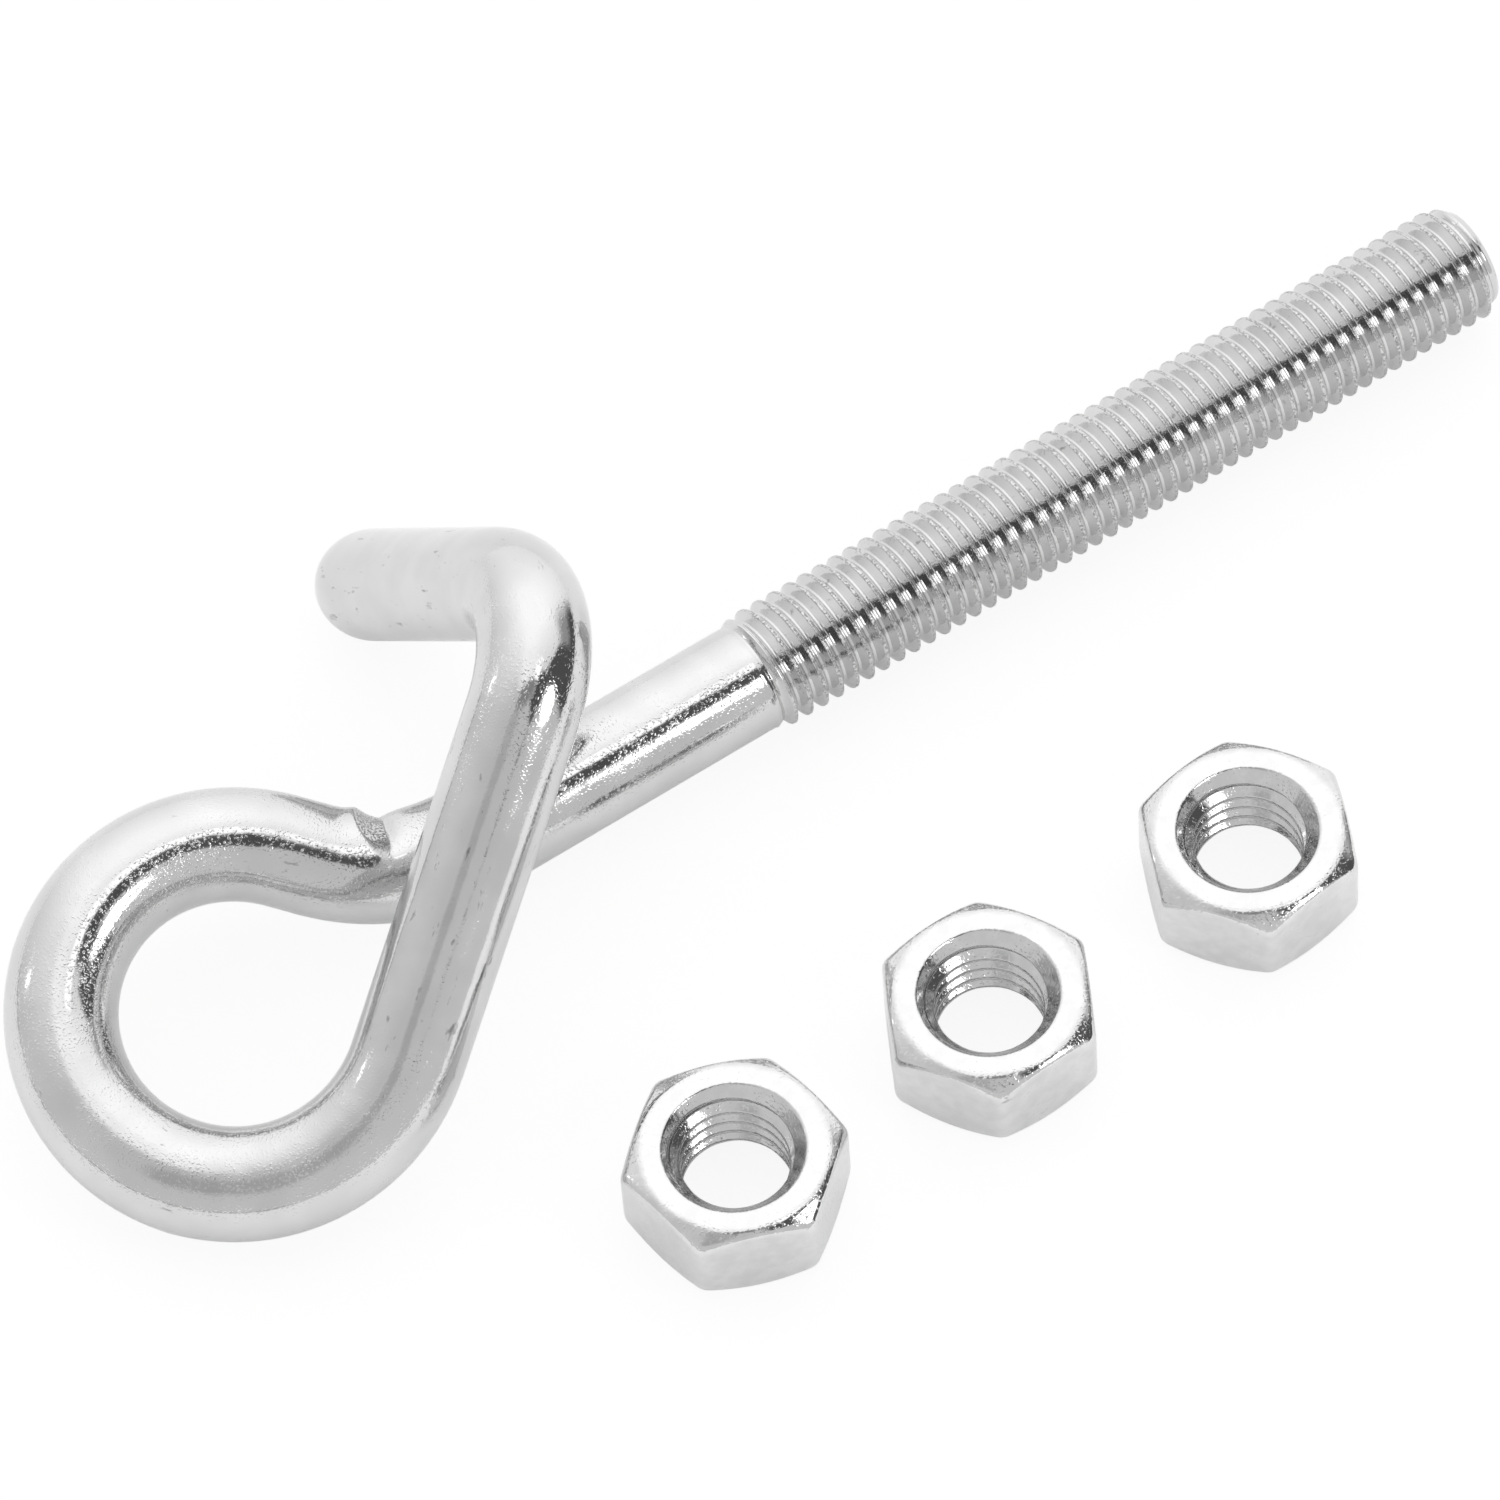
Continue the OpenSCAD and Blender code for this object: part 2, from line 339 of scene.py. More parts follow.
# %% Wind the strip
# It starts two turns early, and whatever lies past an end is pressed flat onto that end, where
# welding takes it away.
thread_turns = int(np.ceil(THREAD_LEN / PITCH_MM)) + 4
winding = np.arange(thread_turns * AROUND)
along = PITCH_MM * (winding[None, :] / AROUND + profile_at[:, None] - 2)
along = np.clip(along, END_FROM, THREAD_LEN)
fade = smooth((THREAD_LEN - along) / (FADE_TURNS * PITCH_MM))
thread_radius = ROD_R + (profile_r[:, None] - ROD_R) * fade
thread_radius = np.minimum(thread_radius, END_CONE_R + END_CONE_RISE * along)

wound = ring_angle[winding % AROUND]
end_across = np.cross(end_onward, end_side)
end_spoke = np.cos(wound)[:, None] * end_side + np.sin(wound)[:, None] * end_across
thread_points = thread_end[0] + along[..., None] * end_onward + thread_radius[..., None] * end_spoke
thread_straight = np.stack([along, thread_radius * np.cos(wound), thread_radius * np.sin(wound)], -1)

strip = np.arange(along.size).reshape(along.shape)
strip = np.concatenate([strip[:, :-AROUND], strip[:1, AROUND:]])
thread_faces = grid_faces(strip)
print("turns of thread:", round(THREAD_LEN / PITCH_MM, 1))

# %% [markdown]
# ## The sawn end
# The free end was sawn square and its edge broken. A short profile from the cone to the
# middle of the face, turned round the axis, closes the thread.

# %% Close the free end
face_r = np.array([0.0, 1.6, 3.2, 4.6, 4.72, 4.81, 4.89])
face_in = np.array([0.0, 0.0, 0.0, 0.0, 0.01, 0.045, END_FROM])
ring_spoke = np.cos(ring_angle)[:, None] * end_side + np.sin(ring_angle)[:, None] * end_across
face_points = thread_end[0] + face_in[:, None, None] * end_onward + face_r[:, None, None] * ring_spoke[None]
face_straight = np.stack(np.broadcast_arrays(
    face_in[:, None], face_r[:, None] * np.cos(ring_angle), face_r[:, None] * np.sin(ring_angle)), -1)
face_ids = np.arange(face_points[..., 0].size).reshape(face_points.shape[:2])
face_faces = grid_faces(np.concatenate([face_ids, face_ids[:, :1]], axis=1))
print("sawn face:", 2 * face_r[3], "mm across")

# %% Join the three grids into one hook
hook_parts = [thread_points, face_points, rod_points]
hook_points = np.concatenate([part.reshape(-1, 3) for part in hook_parts])
hook_straight = np.concatenate(
    [part.reshape(-1, 3) for part in (thread_straight, face_straight, rod_straight)])
face_start = thread_points[..., 0].size
rod_start = face_start + face_points[..., 0].size
hook_faces = np.concatenate([thread_faces, face_faces + face_start, rod_faces + rod_start])
bruise, rubbed = np.zeros((2, len(hook_points)))
bruise[rod_start:], rubbed[rod_start:] = rod_bruise.ravel(), rod_rubbed.ravel()
bruise[:face_start] = CREST_BRUISE * smooth((thread_radius - CREST_FROM) / CREST_OVER).ravel()
rubbed[:face_start] = ROLLED_SMOOTH * (bruise[:face_start] == 0)
hook = make_piece(
    "swing_hook", hook_points, hook_faces, straightened=hook_straight * MM, bruise=bruise, rubbed=rubbed)

# %% [markdown]
# ## The nuts
# A hexagon nut is pressed from bar, chamfered on both faces at 30 degrees, countersunk and
# tapped. In Blender it could be a six-sided cylinder cut by cones, but booleans leave sharp
# edges and poor triangles. Here it is a profile that goes from the hole over the top face,
# down the side and back to the hole, and that is turned round the axis while its outer
# reach follows the hexagon. Where the chamfer's cone meets a flat side, the edge then curves
# by itself, as on a real nut.

# %% Sizes of the nuts
NUT_H, NUT_FLAT, NUT_CORNER_ROUND = 10.0, 9.5, 1.3
NUT_FACE_R, NUT_SINK_R, NUT_SINK_START = 8.75, 6.8, 0.35
NUT_BORE_R, NUT_SINK_DEEP = 5.1, 2.2
SINK_SLOPE = (NUT_SINK_R - NUT_BORE_R) / NUT_SINK_DEEP
CHAMFER = np.tan(np.radians(30))
SECTOR = 36

# The columns stand closer together near the corners, where the shape turns fastest.
even = np.arange(SECTOR) / SECTOR * 2 - 1
from_flat = np.radians(30) * (1.25 * even - 0.25 * even ** 3)
nut_angle = (np.radians(30 + 60 * np.arange(6))[:, None] + from_flat[None]).ravel()


def hexagon_reach(off):
    """How far a hexagon with rounded corners reaches at an angle off the middle of a flat:
    the flat's distance over the cosine, and near a corner the far side of the fillet's circle."""
    hub = (NUT_FLAT - NUT_CORNER_ROUND) / np.cos(np.radians(30))
    from_corner = np.radians(30) - np.abs(off)
    dip = np.clip(NUT_CORNER_ROUND ** 2 - (hub * np.sin(from_corner)) ** 2, 0, None)
    fillet = hub * np.cos(from_corner) + np.sqrt(dip)
    tangent = np.arctan((NUT_FLAT - NUT_CORNER_ROUND) * np.tan(np.radians(30)) / NUT_FLAT)
    return np.where(np.abs(off) > tangent, fillet, NUT_FLAT / np.cos(off))


nut_reach = np.tile(hexagon_reach(from_flat), 6)
print("nut across corners:", round(2 * float(nut_reach.max()), 2), "mm")

# %% The nut's outer profile, with rounded edges
BESIDE = 1.15
FACE_EDGE_SHARE, FACE_EDGE_MOST = 0.40, 0.5
SIDE_EDGE_SHARE, SIDE_EDGE_MOST = 0.42, 0.9
MOUTH_EDGE = 0.25


def rounded_edges(corners, sizes):
    """A chain of corners with each inner corner replaced by a curve of three controls: it
    leaves one edge a size before the corner, is drawn towards the corner and joins the next
    edge a size after it. A size may differ round the nut. One more point beside each curve
    keeps the flats flat."""
    share = np.linspace(0, 1, 7)[:, None, None]
    chain = [corners[:1]]
    for before, corner, after, size in zip(corners, corners[1:], corners[2:], sizes):
        back = (before - corner) / np.linalg.norm(before - corner, axis=-1, keepdims=True)
        on = (after - corner) / np.linalg.norm(after - corner, axis=-1, keepdims=True)
        curve = (1 - share) ** 2 * (corner + size * back) + 2 * share * (1 - share) * corner
        curve = curve + share ** 2 * (corner + size * on)
        chain += [(corner + BESIDE * size * back)[None], curve, (corner + BESIDE * size * on)[None]]
    return np.concatenate(chain + [corners[-1:]])


chamfer_drop = (nut_reach - NUT_FACE_R) * CHAMFER
chamfer_len = np.hypot(nut_reach - NUT_FACE_R, chamfer_drop)[:, None]
face_edge = np.minimum(FACE_EDGE_SHARE * chamfer_len, FACE_EDGE_MOST)
side_edge = np.minimum(SIDE_EDGE_SHARE * chamfer_len, SIDE_EDGE_MOST)
mouth_edge = np.full_like(chamfer_len, MOUTH_EDGE)
flat_ring = np.ones_like(nut_reach)
mouth_r = NUT_SINK_R - SINK_SLOPE * NUT_SINK_START
nut_corners = np.stack([np.stack(pair, -1) for pair in (
    (flat_ring * mouth_r, flat_ring * (NUT_H - NUT_SINK_START)),
    (flat_ring * NUT_SINK_R, flat_ring * NUT_H),
    (flat_ring * NUT_FACE_R, flat_ring * NUT_H),
    (nut_reach, NUT_H - chamfer_drop),
    (nut_reach, chamfer_drop),
    (flat_ring * NUT_FACE_R, flat_ring * 0),
    (flat_ring * NUT_SINK_R, flat_ring * 0),
    (flat_ring * mouth_r, flat_ring * NUT_SINK_START))])
shell = rounded_edges(nut_corners, [mouth_edge, face_edge, side_edge, side_edge, face_edge, mouth_edge])
print("points on the nut's profile:", len(shell))

# %% [markdown]
# ## The nut's own thread
# The hole shows four or five turns of thread between two countersinks. The strip is wound
# as on the rod, but it faces the axis, and it is cut by the countersinks' cones: wherever
# a cone is wider than the thread, the point lies on the cone.

# %% Wind the thread of the nut
tap_at = np.array([0, .04, .075, .33, .37, .42, .5, .58, .63, .67, .925, .96])
tap_r = np.array([6.0, 5.985, 5.93, 5.24, 5.16, 5.115, 5.10, 5.115, 5.16, 5.24, 5.93, 5.985])
nut_around = len(nut_angle)
tap_turns = int(np.ceil(NUT_H / PITCH_MM)) + 3
tap_winding = np.arange(tap_turns * nut_around)
tap_angle = nut_angle[tap_winding % nut_around]
tap_height = PITCH_MM * ((tap_angle + 2 * np.pi * (tap_winding // nut_around)) / (2 * np.pi) - 1.5)
tap_height = tap_height[None, :] + PITCH_MM * tap_at[:, None]
tap_height = np.clip(tap_height, NUT_SINK_START, NUT_H - NUT_SINK_START)
sink = NUT_SINK_R - SINK_SLOPE * np.minimum(tap_height, NUT_H - tap_height)
tap_radius = np.maximum(tap_r[:, None], sink)

tap_strip = np.arange(tap_height.size).reshape(tap_height.shape)
tap_strip = np.concatenate([tap_strip[:, :-nut_around], tap_strip[:1, nut_around:]])
tap_faces = grid_faces(tap_strip[::-1])
print("tapped turns:", round(NUT_H / PITCH_MM, 1))

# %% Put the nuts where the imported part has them
NUT_TURNS = {"nut_1": -20.6, "nut_2": 2.2, "nut_3": 6.9}


def round_the_axis(radius, height, angle, centre):
    """Radius, height and angle about an upright axis become x, y and z."""
    return np.stack(np.broadcast_arrays(
        centre[0] + radius * np.cos(angle), centre[1] + radius * np.sin(angle), height), -1)


nuts = {}
for node, turned in NUT_TURNS.items():
    low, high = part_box(node)
    middle = [(a + b) / 2 / MM for a, b in zip(low, high)]
    shell_angle = (nut_angle + np.radians(turned))[:, None]
    shell_points = round_the_axis(shell[..., 0].T, shell[..., 1].T, shell_angle, middle)
    tap_points = round_the_axis(tap_radius, tap_height, (tap_angle + np.radians(turned))[None], middle)
    shell_ids = np.arange(shell_points[..., 0].size).reshape(shell_points.shape[:2])
    shell_faces = grid_faces(np.concatenate([shell_ids, shell_ids[:1]]))
    points = np.concatenate([shell_points.reshape(-1, 3), tap_points.reshape(-1, 3)])
    nuts[node] = make_piece("hex_" + node, points, np.concatenate([shell_faces, tap_faces + shell_ids.size]))

# %% [markdown]
# ## The plating
# Bright zinc is laid on in a bath and brightened, so it mirrors its surroundings, in a
# neutral silver with hardly any colour. The layer is thin, and the steel under it shows as
# unevenness: waves of a few millimetres that bend the edges of reflections, and pimples of
# a quarter of a millimetre, left by rolling and pickling, that break those edges into specks.
# A few scuffs come from hooks that rubbed together in the barrel. All of it could be painted
# by hand, but noise that is measured in millimetres needs no seams. Colours are given as on
# a colour picker and turned into the linear values that a renderer needs.

# %% A node and a colour
def linear(code):
    """An sRGB hex colour as linear red, green, blue and full cover."""
    part = np.array([int(code[k:k + 2], 16) / 255 for k in (1, 3, 5)])
    part = np.where(part <= 0.04045, part / 12.92, ((part + 0.055) / 1.055) ** 2.4)
    return (*part.tolist(), 1.0)


def add(tree, kind, inputs=None, **settings):
    """Add one node. settings are its properties. Each input is a value for the socket, or
    another node's output that is linked to it."""
    node = tree.nodes.new(kind)
    for name, value in settings.items():
        setattr(node, name, value)
    for key, value in (inputs or {}).items():
        if isinstance(value, bpy.types.NodeSocket):
            tree.links.new(value, node.inputs[key])
        else:
            node.inputs[key].default_value = value
    return node


def per_mm(size):
    """A texture's scale, in repeats to a metre, for a pattern of this size in millimetres."""
    return 1000.0 / size

# %% Bright zinc on steel
PATCH_FROM, PATCH_TO = 0.36, 0.64
PIMPLE_FROM, PIMPLE_TO = 0.54, 0.80
SPARSE_PIMPLES, RUBBED_PIMPLES, BRUISED_PIMPLES = 0.35, 0.15, 1.5
WAVE_SIZE, WAVE_HEIGHT = 2.5, 0.03
SCUFF_SIZE, SCUFF_STRETCH, SCUFF_DULL = 1.1, 0.4, 0.16
SCUFF_FROM, SCUFF_TO, RUBBED_SCUFFS = 0.70, 0.82, 0.065
PECK_FROM, PECK_TO = 0.40, 0.60
MARRED_GREY = "#949494"


def zinc_plating(name, coordinate, pimple_size, pimple_height, patch_size, clouds, dullness):
    """A neutral mirror with waves, pimples and scuffs. Patches make the pimples denser and the
    metal cloudier here and there. The marks on the mesh thin the pimples out where the rod was
    rubbed, and heighten and darken them where it was bruised."""
    material = bpy.data.materials.new(name)
    material.use_nodes = True
    tree = material.node_tree
    tree.nodes.clear()
    if coordinate == "Object":
        place = add(tree, "ShaderNodeTexCoord").outputs["Object"]
    else:
        place = add(tree, "ShaderNodeAttribute", attribute_name=coordinate).outputs["Vector"]
    rubbed = add(tree, "ShaderNodeAttribute", attribute_name="rubbed").outputs["Fac"]
    bruise = add(tree, "ShaderNodeAttribute", attribute_name="bruise").outputs["Fac"]

    patches = add(tree, "ShaderNodeTexNoise", {
        "Vector": place, "Scale": per_mm(patch_size), "Detail": 2.0}).outputs[0]
    patches = add(tree, "ShaderNodeMapRange", {
        "Value": patches, "From Min": PATCH_FROM, "From Max": PATCH_TO}).outputs[0]
    grain = add(tree, "ShaderNodeTexNoise", {
        "Vector": place, "Scale": per_mm(pimple_size), "Detail": 1.0}).outputs[0]
    tops = add(tree, "ShaderNodeMapRange", {
        "Value": grain, "From Min": PIMPLE_FROM, "From Max": PIMPLE_TO}).outputs[0]
    dense = add(tree, "ShaderNodeMapRange", {"Value": patches, "To Min": SPARSE_PIMPLES}).outputs[0]
    skin = add(tree, "ShaderNodeMapRange", {
        "Value": rubbed, "To Min": 1.0, "To Max": RUBBED_PIMPLES}).outputs[0]
    skin = add(tree, "ShaderNodeMath", {
        0: bruise, 1: BRUISED_PIMPLES, 2: skin}, operation="MULTIPLY_ADD").outputs[0]
    dense = add(tree, "ShaderNodeMath", {0: dense, 1: skin}, operation="MULTIPLY").outputs[0]
    pimples = add(tree, "ShaderNodeMath", {0: tops, 1: dense}, operation="MULTIPLY").outputs[0]
    fine = add(tree, "ShaderNodeBump", {
        "Height": pimples, "Distance": pimple_height * MM}).outputs[0]
    waves = add(tree, "ShaderNodeTexNoise", {
        "Vector": place, "Scale": per_mm(WAVE_SIZE), "Detail": 1.0}).outputs[0]
    uneven = add(tree, "ShaderNodeBump", {
        "Height": waves, "Distance": WAVE_HEIGHT * MM, "Normal": fine}).outputs[0]

    drawn_out = add(tree, "ShaderNodeMapping", {
        "Vector": place, "Scale": (SCUFF_STRETCH, 1.0, 1.0)}).outputs[0]
    rubs = add(tree, "ShaderNodeTexNoise", {
        "Vector": drawn_out, "Scale": per_mm(SCUFF_SIZE), "Detail": 3.0, "Roughness": 0.65}).outputs[0]
    rubs = add(tree, "ShaderNodeMath", {
        0: rubbed, 1: RUBBED_SCUFFS, 2: rubs}, operation="MULTIPLY_ADD").outputs[0]
    scuffs = add(tree, "ShaderNodeMapRange", {
        "Value": rubs, "From Min": SCUFF_FROM, "From Max": SCUFF_TO}).outputs[0]
    pecks = add(tree, "ShaderNodeMapRange", {
        "Value": grain, "From Min": PECK_FROM, "From Max": PECK_TO}).outputs[0]
    pecks = add(tree, "ShaderNodeMath", {0: pecks, 1: bruise}, operation="MULTIPLY").outputs[0]
    marred = add(tree, "ShaderNodeMath", {0: pecks, 1: scuffs}, operation="MAXIMUM").outputs[0]

    cloud = add(tree, "ShaderNodeMix", {
        0: patches, 6: linear(clouds[0]), 7: linear(clouds[1])}, data_type="RGBA").outputs[2]
    tone = add(tree, "ShaderNodeMix", {
        0: marred, 6: cloud, 7: linear(MARRED_GREY)}, data_type="RGBA").outputs[2]
    dull = add(tree, "ShaderNodeMapRange", {
        "Value": patches, "To Min": dullness[0], "To Max": dullness[1]}).outputs[0]
    rough = add(tree, "ShaderNodeMath", {
        0: scuffs, 1: SCUFF_DULL, 2: dull}, operation="MULTIPLY_ADD").outputs[0]
    metal = add(tree, "ShaderNodeBsdfPrincipled", {
        "Base Color": tone, "Metallic": 1.0, "Roughness": rough, "Normal": uneven}).outputs[0]
    add(tree, "ShaderNodeOutputMaterial", {"Surface": metal})
    return material

# %% One finish for the rod and one for the nuts
# The rod was drawn, bent and then plated, so its pattern is laid out along the straightened
# rod and follows it round the bends. To the eye it is a clear mirror with specks.
rod_zinc = zinc_plating(
    "bright_zinc_on_drawn_rod", "straightened", pimple_size=0.25, pimple_height=0.027, patch_size=5.0,
    clouds=("#D1D1D1", "#D8D8D8"), dullness=(0.07, 0.11))
# The nuts were pressed, tapped and tumbled, which leaves them a little paler and cloudier.
nut_zinc = zinc_plating(
    "bright_zinc_on_pressed_nut", "Object", pimple_size=0.26, pimple_height=0.028, patch_size=1.6,
    clouds=("#D7D7D7", "#DFDFDF"), dullness=(0.08, 0.13))
hook.data.materials.append(rod_zinc)
for nut in nuts.values():
    nut.data.materials.append(nut_zinc)
print("materials:", rod_zinc.name, nut_zinc.name)

# %% [markdown]
# ## The floor
# A plain pale sheet under the object. It also lights the metal from below, because bright
# plating shows mostly what is around it. Seen straight from the camera it glows by itself,
# which leaves only a breath of shadow, as on a catalogue page.

# %% A plain pale floor
FLOOR_HALF, FLOOR_Z = 3000.0, -0.05
FLOOR_GLOW, FLOOR_GLOW_SEEN = 0.16, 0.89
FLOOR_WHITE, FLOOR_WHITE_SEEN = "#FAFAFA", "#666666"
floor_mesh = bpy.data.meshes.new("pale_floor")
floor_mesh.from_pydata([(x * FLOOR_HALF * MM, y * FLOOR_HALF * MM, FLOOR_Z * MM)
                        for x, y in ((-1, -1), (1, -1), (1, 1), (-1, 1))], [], [(0, 1, 2, 3)])
floor = bpy.data.objects.new("pale_floor", floor_mesh)
bpy.context.scene.collection.objects.link(floor)
paper = bpy.data.materials.new("matt_white_paper")
paper.use_nodes = True
sheet = paper.node_tree
sheet.nodes.clear()
straight_look = add(sheet, "ShaderNodeLightPath").outputs["Is Camera Ray"]
glow = add(sheet, "ShaderNodeMapRange", {
    "Value": straight_look, "To Min": FLOOR_GLOW, "To Max": FLOOR_GLOW_SEEN}).outputs[0]
matt = add(sheet, "ShaderNodeMix", {
    0: straight_look, 6: linear(FLOOR_WHITE), 7: linear(FLOOR_WHITE_SEEN)}, data_type="RGBA").outputs[2]
paper_shader = add(sheet, "ShaderNodeBsdfPrincipled", {
    "Base Color": matt, "Roughness": 1.0, "Specular IOR Level": 0.0,
    "Emission Color": linear("#FFFFFF"), "Emission Strength": glow})
add(sheet, "ShaderNodeOutputMaterial", {"Surface": paper_shader.outputs[0]})
floor_mesh.materials.append(paper)
floor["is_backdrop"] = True
print("floor:", 2 * FLOOR_HALF * MM, "m wide")

# %% [markdown]
# ## The studio
# Metal this bright is lit by what it mirrors. The studio is drawn as a world: a pale tent
# that is brightest far from the camera and overhead, and greyer towards the camera. In front
# of the tent stand darker things, such as the frame round the soft box and the stand of the
# camera. Each is a window in two angles, the bearing from the camera's heading and the height
# above the horizon, with soft edges. A ray that comes straight from the camera sees a plain
# pale background instead.

# %% Bearing and height of every direction
world = bpy.data.worlds.new("studio_tent")
bpy.context.scene.world = world
world.use_nodes = True
sky = world.node_tree
sky.nodes.clear()
look = add(sky, "ShaderNodeTexCoord").outputs["Generated"]
ahead = add(sky, "ShaderNodeVectorMath", {
    0: look, 1: tuple(level_ahead)}, operation="DOT_PRODUCT").outputs["Value"]
rightward = add(sky, "ShaderNodeVectorMath", {
    0: look, 1: tuple(level_right)}, operation="DOT_PRODUCT").outputs["Value"]
upward = add(sky, "ShaderNodeSeparateXYZ", {0: look}).outputs["Z"]
bearing = add(sky, "ShaderNodeMath", {0: rightward, 1: ahead}, operation="ARCTAN2").outputs[0]
height = add(sky, "ShaderNodeMath", {0: upward}, operation="ARCSINE").outputs[0]
print("nodes for bearing and height:", len(sky.nodes))

# %% The pale tent
FAR_HEIGHTS, FAR_LIGHT = np.radians([3, 52]), (1.12, 1.44)
NEAR_HEIGHTS, NEAR_LIGHT = np.radians([10, 60]), (0.74, 0.70)
TENT_MIDDLE = np.radians(10)
BRIGHT_TO, BRIGHT_NARROWS = np.radians(28), -0.26
GREY_FROM, GREY_WIDENS = np.radians(82), 0.85

far_light = add(sky, "ShaderNodeMapRange", {
    "Value": height, "From Min": FAR_HEIGHTS[0], "From Max": FAR_HEIGHTS[1],
    "To Min": FAR_LIGHT[0], "To Max": FAR_LIGHT[1]}).outputs[0]
near_light = add(sky, "ShaderNodeMapRange", {
    "Value": height, "From Min": NEAR_HEIGHTS[0], "From Max": NEAR_HEIGHTS[1],
    "To Min": NEAR_LIGHT[0], "To Max": NEAR_LIGHT[1]}).outputs[0]
turned_away = add(sky, "ShaderNodeMath", {0: bearing, 1: TENT_MIDDLE}, operation="SUBTRACT").outputs[0]
turned_away = add(sky, "ShaderNodeMath", {0: turned_away}, operation="ABSOLUTE").outputs[0]
bright_to = add(sky, "ShaderNodeMath", {
    0: height, 1: BRIGHT_NARROWS, 2: BRIGHT_TO}, operation="MULTIPLY_ADD").outputs[0]
grey_from = add(sky, "ShaderNodeMath", {
    0: height, 1: GREY_WIDENS, 2: GREY_FROM}, operation="MULTIPLY_ADD").outputs[0]
nearness = add(sky, "ShaderNodeMapRange", {
    "Value": turned_away, "From Min": bright_to, "From Max": grey_from},
    interpolation_type="SMOOTHSTEP").outputs[0]
tent = add(sky, "ShaderNodeMix", {0: nearness, 2: far_light, 3: near_light}, data_type="FLOAT").outputs[0]
print("brightness of the tent, far and near:", FAR_LIGHT, NEAR_LIGHT)

# %% The roof, the frame round the soft box and other things in front of the tent
# Each row has a bearing and its half width, a height and its half height, and the softness
# of the edge, all in degrees. Then come the brightness, and whether the frame's slanted
# edge cuts the window off.
SLANT_FROM, SLANT_TO = np.radians([34, 42])
studio_windows = {
    "roof": (0, 200, 90, 12, 14, 1.27, False),
    "edge of the table": (-120, 60, 0, 2, 3, 0.45, False),
    "stand of the camera": (-157, 16, 52, 13, 12, 0.50, False),
    "boom over the camera": (167, 46, 74, 7, 6, 0.30, False),
    "sheet over the frame": (98, 20, 71, 6, 5, 1.60, False),
    "wall beyond the box": (68, 16, 12, 20, 16, 0.40, False),
    "frame over the box": (125, 26, 57.5, 8.5, 3, 0.10, True),
    "frame beside the box": (91.5, 17.5, 25, 27, 6, 0.10, True),
    "frame under the box": (78, 26, 4, 8, 12, 0.10, True),
    "small lamp": (-69, 1.5, 25, 5, 1, 3.0, False)}

slant = add(sky, "ShaderNodeMath", {0: bearing, 1: height}, operation="SUBTRACT").outputs[0]
slant = add(sky, "ShaderNodeMapRange", {
    "Value": slant, "From Min": SLANT_FROM, "From Max": SLANT_TO},
    interpolation_type="SMOOTHSTEP").outputs[0]
for bearing_mid, bearing_half, height_mid, height_half, soft, light, cut in studio_windows.values():
    cover = slant if cut else 1.0
    for angle, mid, half in ((bearing, bearing_mid, bearing_half), (height, height_mid, height_half)):
        off = add(sky, "ShaderNodeMath", {0: angle, 1: np.radians(mid)}, operation="SUBTRACT").outputs[0]
        off = add(sky, "ShaderNodeMath", {0: off, 1: np.pi, 2: -np.pi}, operation="WRAP").outputs[0]
        off = add(sky, "ShaderNodeMath", {0: off}, operation="ABSOLUTE").outputs[0]
        outer_edge, inner_edge = np.radians([half + soft / 2, half - soft / 2])
        inside = add(sky, "ShaderNodeMapRange", {
            "Value": off, "From Min": outer_edge, "From Max": inner_edge},
            interpolation_type="SMOOTHSTEP").outputs[0]
        cover = add(sky, "ShaderNodeMath", {0: cover, 1: inside}, operation="MULTIPLY").outputs[0]
    tent = add(sky, "ShaderNodeMix", {0: cover, 2: tent, 3: light}, data_type="FLOAT").outputs[0]
print("windows in the tent:", len(studio_windows))

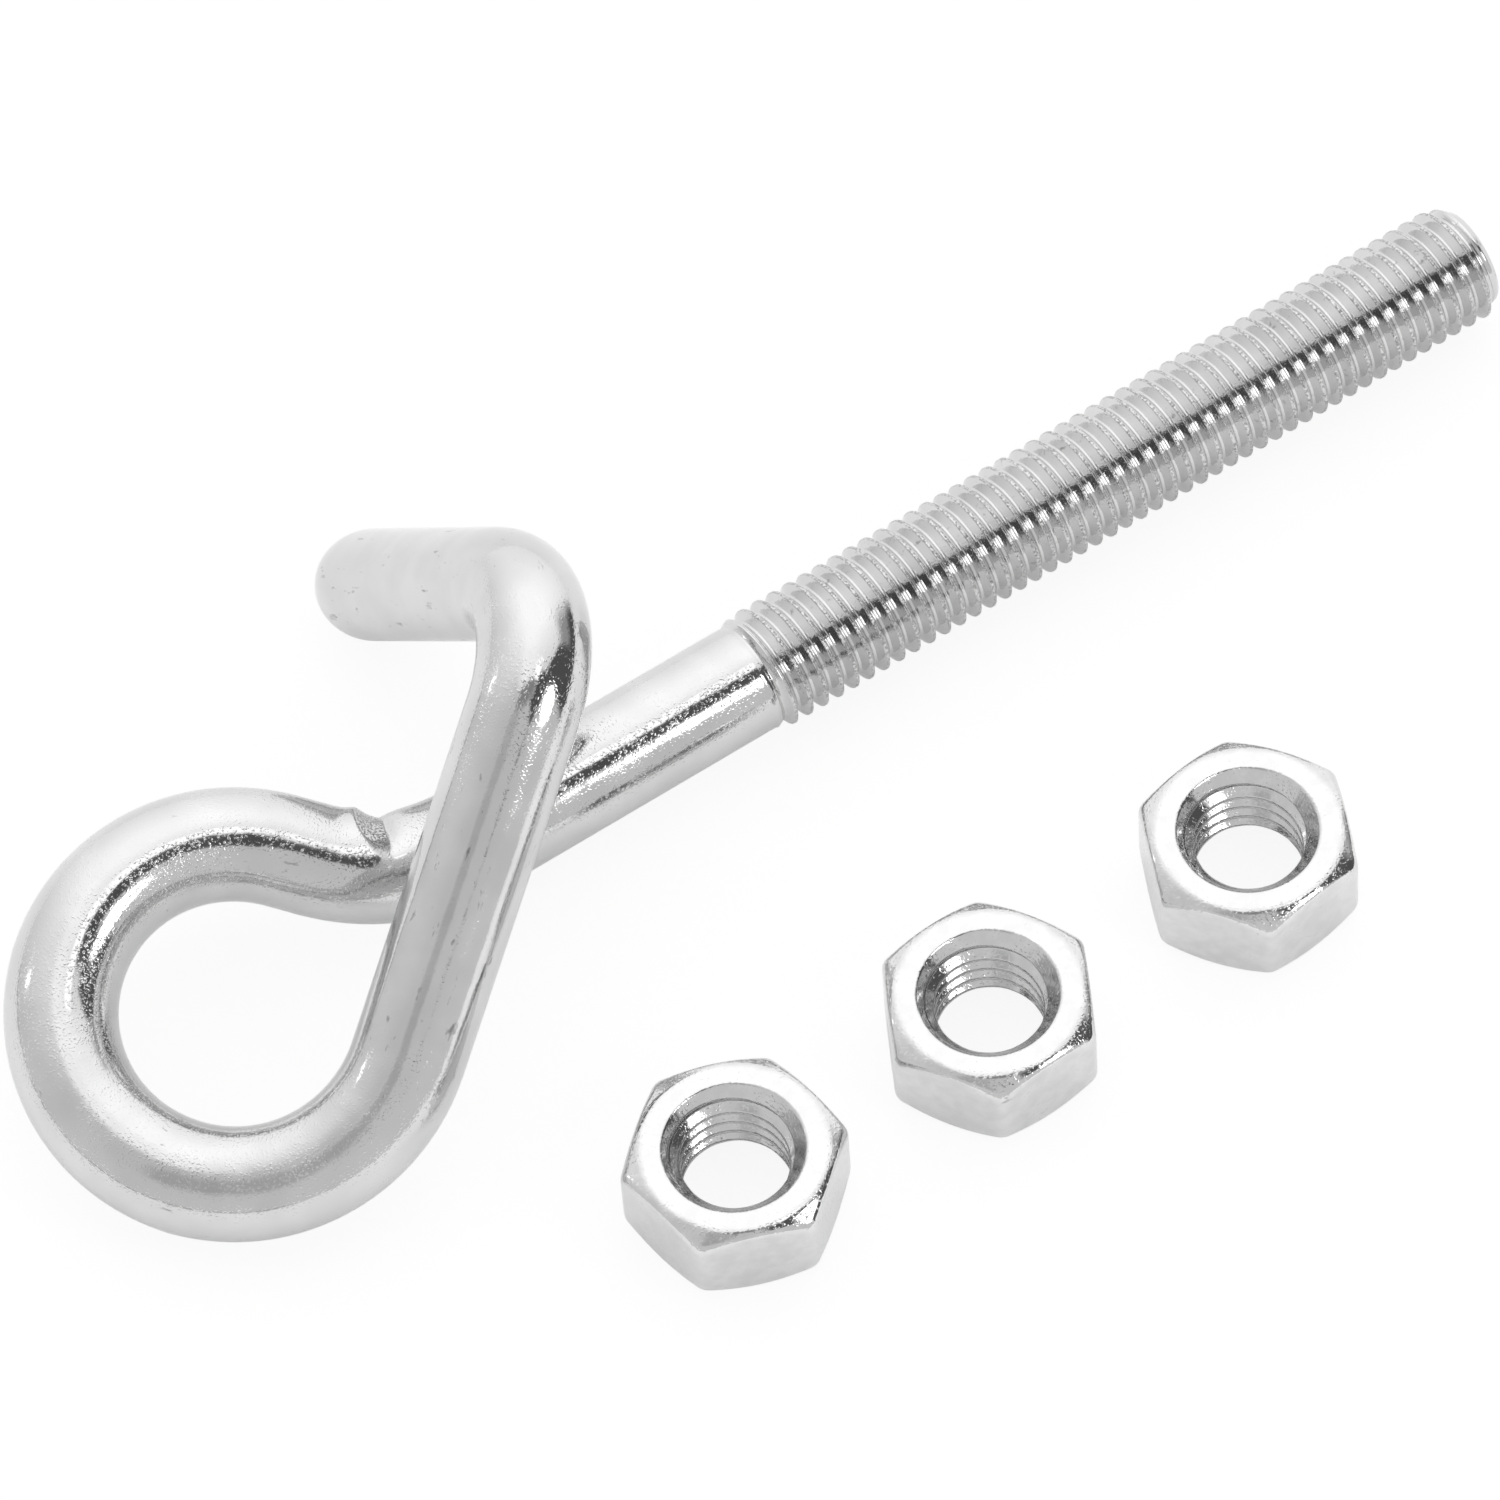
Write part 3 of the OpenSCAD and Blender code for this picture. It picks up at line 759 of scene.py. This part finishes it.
# %% Plain background for the camera itself
tent_light = add(sky, "ShaderNodeBackground", {"Color": linear("#FFFFFF"), "Strength": tent})
plain = add(sky, "ShaderNodeBackground", {"Color": linear("#FFFFFF"), "Strength": 1.0})
seen = add(sky, "ShaderNodeLightPath").outputs["Is Camera Ray"]
both = add(sky, "ShaderNodeMixShader", {0: seen, 1: tent_light.outputs[0], 2: plain.outputs[0]})
add(sky, "ShaderNodeOutputWorld", {"Surface": both.outputs[0]})
print("nodes in the studio:", len(sky.nodes))

# %% [markdown]
# ## The soft box
# The soft box stands close by, less than half a metre from the hook, so it is a real lamp
# and not a part of the far tent: seen from the loop it stands further round than seen from
# the shank. An area light of this kind shines with a quarter of its watts for each square
# metre.

# %% Stand the soft box beside the hook
BOX_BEARING, BOX_HEIGHT = np.radians([120.5, 36.8])
BOX_WIDE, BOX_AWAY, BOX_BRIGHT = 0.146, 0.380, 2.2
BOX_AIMS_AT = np.array([-15.0, 8.0, 10.0]) * MM
upright = np.array([0.0, 0.0, 1.0])
box_level = np.cos(BOX_BEARING) * level_ahead + np.sin(BOX_BEARING) * level_right
box_round = np.cos(BOX_BEARING) * level_right - np.sin(BOX_BEARING) * level_ahead
box_towards = np.cos(BOX_HEIGHT) * box_level + np.sin(BOX_HEIGHT) * upright
box_rise = np.cos(BOX_HEIGHT) * upright - np.sin(BOX_HEIGHT) * box_level
lamp = bpy.data.lights.new("soft_box", "AREA")
lamp.shape, lamp.size = "DISK", BOX_WIDE
lamp.energy = 4 * (np.pi / 4 * BOX_WIDE ** 2) * BOX_BRIGHT
soft_box = bpy.data.objects.new("soft_box", lamp)
bpy.context.scene.collection.objects.link(soft_box)
box_stand = np.eye(4)
box_stand[:3, :3] = np.column_stack([-box_round, box_rise, box_towards])
box_stand[:3, 3] = BOX_AIMS_AT + BOX_AWAY * box_towards
soft_box.matrix_world = Matrix(box_stand.tolist())
print("soft box in W:", round(lamp.energy, 3))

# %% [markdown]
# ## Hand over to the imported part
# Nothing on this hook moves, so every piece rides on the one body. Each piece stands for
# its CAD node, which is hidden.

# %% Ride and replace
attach(hook, "root")
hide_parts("hook")
for node, nut in nuts.items():
    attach(nut, "root")
    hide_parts(node)

low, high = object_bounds()
print("box in mm:", [round((b - a) / MM, 2) for a, b in zip(low, high)])
